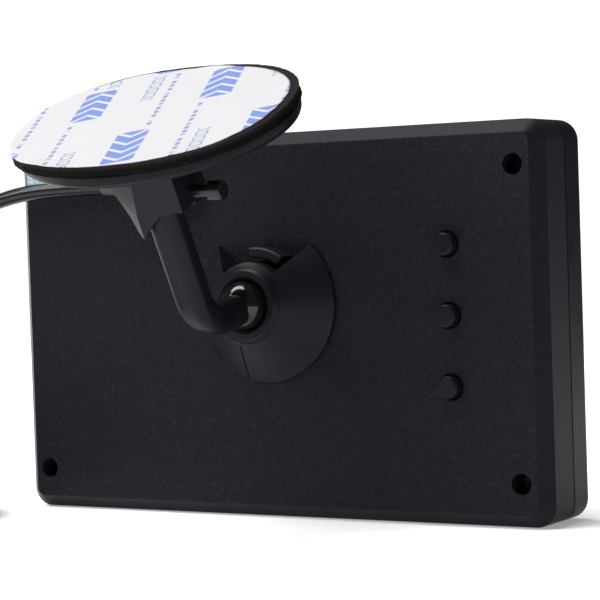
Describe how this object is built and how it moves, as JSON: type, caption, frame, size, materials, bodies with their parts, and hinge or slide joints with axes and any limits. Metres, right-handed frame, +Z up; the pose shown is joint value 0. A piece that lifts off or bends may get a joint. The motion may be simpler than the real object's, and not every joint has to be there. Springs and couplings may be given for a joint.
{
  "type": "vehicle camera monitor with adhesive ball mount",
  "caption": "Flat boxed dashboard monitor seen from behind, with recessed case screws, round push buttons and a jointed arm to an oval adhesive pad, and a thin lead.",
  "frame": {"origin": "on the case's bottom face, midway along its width and depth", "axes": "+Z up, +X along the case's width, the screen faces -Y and the mount side faces +Y"},
  "size_m": [0.1619, 0.0736, 0.0874],
  "materials": {
    "case_black": "moulded ABS with a fine spark-eroded grain",
    "mount_black": "smooth satin moulded ABS",
    "ball_black": "polished moulded acetal",
    "button_black": "moulded ABS, semi-gloss",
    "window_dark": "tinted acrylic window",
    "lcd_glass": "liquid-crystal glass",
    "guide_white": "clear acrylic light guide with white film",
    "tray_steel": "pressed stainless sheet",
    "foam_black": "closed-cell foam tape",
    "liner_paper": "siliconed paper release liner",
    "board_green": "glass-epoxy board with solder mask",
    "chip_black": "epoxy moulded package",
    "film_amber": "polyimide film",
    "steel": "zinc-plated steel",
    "screw_black": "blackened steel",
    "brass": "turned brass",
    "nickel": "nickel-plated brass",
    "label_white": "printed film label",
    "jacket_black": "extruded PVC cable jacket",
    "rubber_black": "moulded soft PVC",
    "washer_nylon": "nylon washer"
  },
  "bodies": {
    "monitor": {"rear_shell": "case_black", "front_bezel": "case_black", "front_window": "window_dark", "case_screws": "screw_black", "window_gasket": "foam_black", "lcd_panel": "lcd_glass", "light_guide": "guide_white", "lcd_tray": "tray_steel", "flex_socket": "guide_white", "lcd_flex": "film_amber", "main_board": "board_green", "board_screws": "steel", "video_chip": "chip_black", "power_inductor": "chip_black", "capacitors": "tray_steel", "lead_socket": "guide_white", "crystal": "nickel", "tact_switches": "chip_black", "socket_skirt": "mount_black", "socket_core": "mount_black", "release_tab": "button_black", "socket_screws": "steel", "quality_label": "label_white", "cable_gland": "case_black", "strain_relief": "rubber_black", "cable": "jacket_black", "cable_coil": "jacket_black", "cable_tie": "rubber_black", "plug_relief": "rubber_black", "plug_body": "rubber_black", "plug_ring": "nickel", "plug_insert": "chip_black", "plug_contacts": "brass"},
    "button_up": {"button_up": "button_black"},
    "button_menu": {"button_menu": "button_black"},
    "button_down": {"button_down": "button_black"},
    "friction_cup": {"friction_cup": "ball_black"},
    "ball_stud": {"ball_stud": "ball_black"},
    "arm": {"arm": "mount_black"},
    "base": {"hinge_block": "mount_black", "base_plate": "mount_black", "plate_screws": "steel", "foam_pad": "foam_black", "release_liner": "liner_paper", "clamp_insert": "brass", "friction_washers": "washer_nylon"},
    "clamp_screw": {"clamp_screw": "screw_black"}
  },
  "joints": [
    {"name": "button_up_press", "type": "slide", "parent": "monitor", "child": "button_up", "axis": [0, -1, 0], "range_m": [0, 0.0004], "stiffness_N_per_m": 800},
    {"name": "button_menu_press", "type": "slide", "parent": "monitor", "child": "button_menu", "axis": [0, -1, 0], "range_m": [0, 0.0004], "stiffness_N_per_m": 800},
    {"name": "button_down_press", "type": "slide", "parent": "monitor", "child": "button_down", "axis": [0, -1, 0], "range_m": [0, 0.0004], "stiffness_N_per_m": 800},
    {"name": "ball_pan", "type": "hinge", "parent": "monitor", "child": "friction_cup", "pos_m": [-0.0008, 0.0176, 0.0419], "axis": [0, 0, 1], "range_deg": [-25, 25]},
    {"name": "ball_tilt", "type": "hinge", "parent": "friction_cup", "child": "ball_stud", "pos_m": [-0.0008, 0.0176, 0.0419], "axis": [1, 0, 0], "range_deg": [-25, 25]},
    {"name": "ball_twist", "type": "hinge", "parent": "ball_stud", "child": "arm", "pos_m": [-0.0008, 0.0176, 0.0419], "axis": [0, 0.9763, -0.2164], "range_deg": [-90, 90]},
    {"name": "base_tilt", "type": "hinge", "parent": "arm", "child": "base", "pos_m": [-0.0008, 0.04488, 0.06355], "axis": [1, 0, 0], "range_deg": [0, 75]},
    {"name": "clamp_screw_turn", "type": "hinge", "parent": "base", "child": "clamp_screw", "pos_m": [-0.0008, 0.04488, 0.06355], "axis": [-1, 0, 0], "range_deg": [0, 360]}
  ]
}
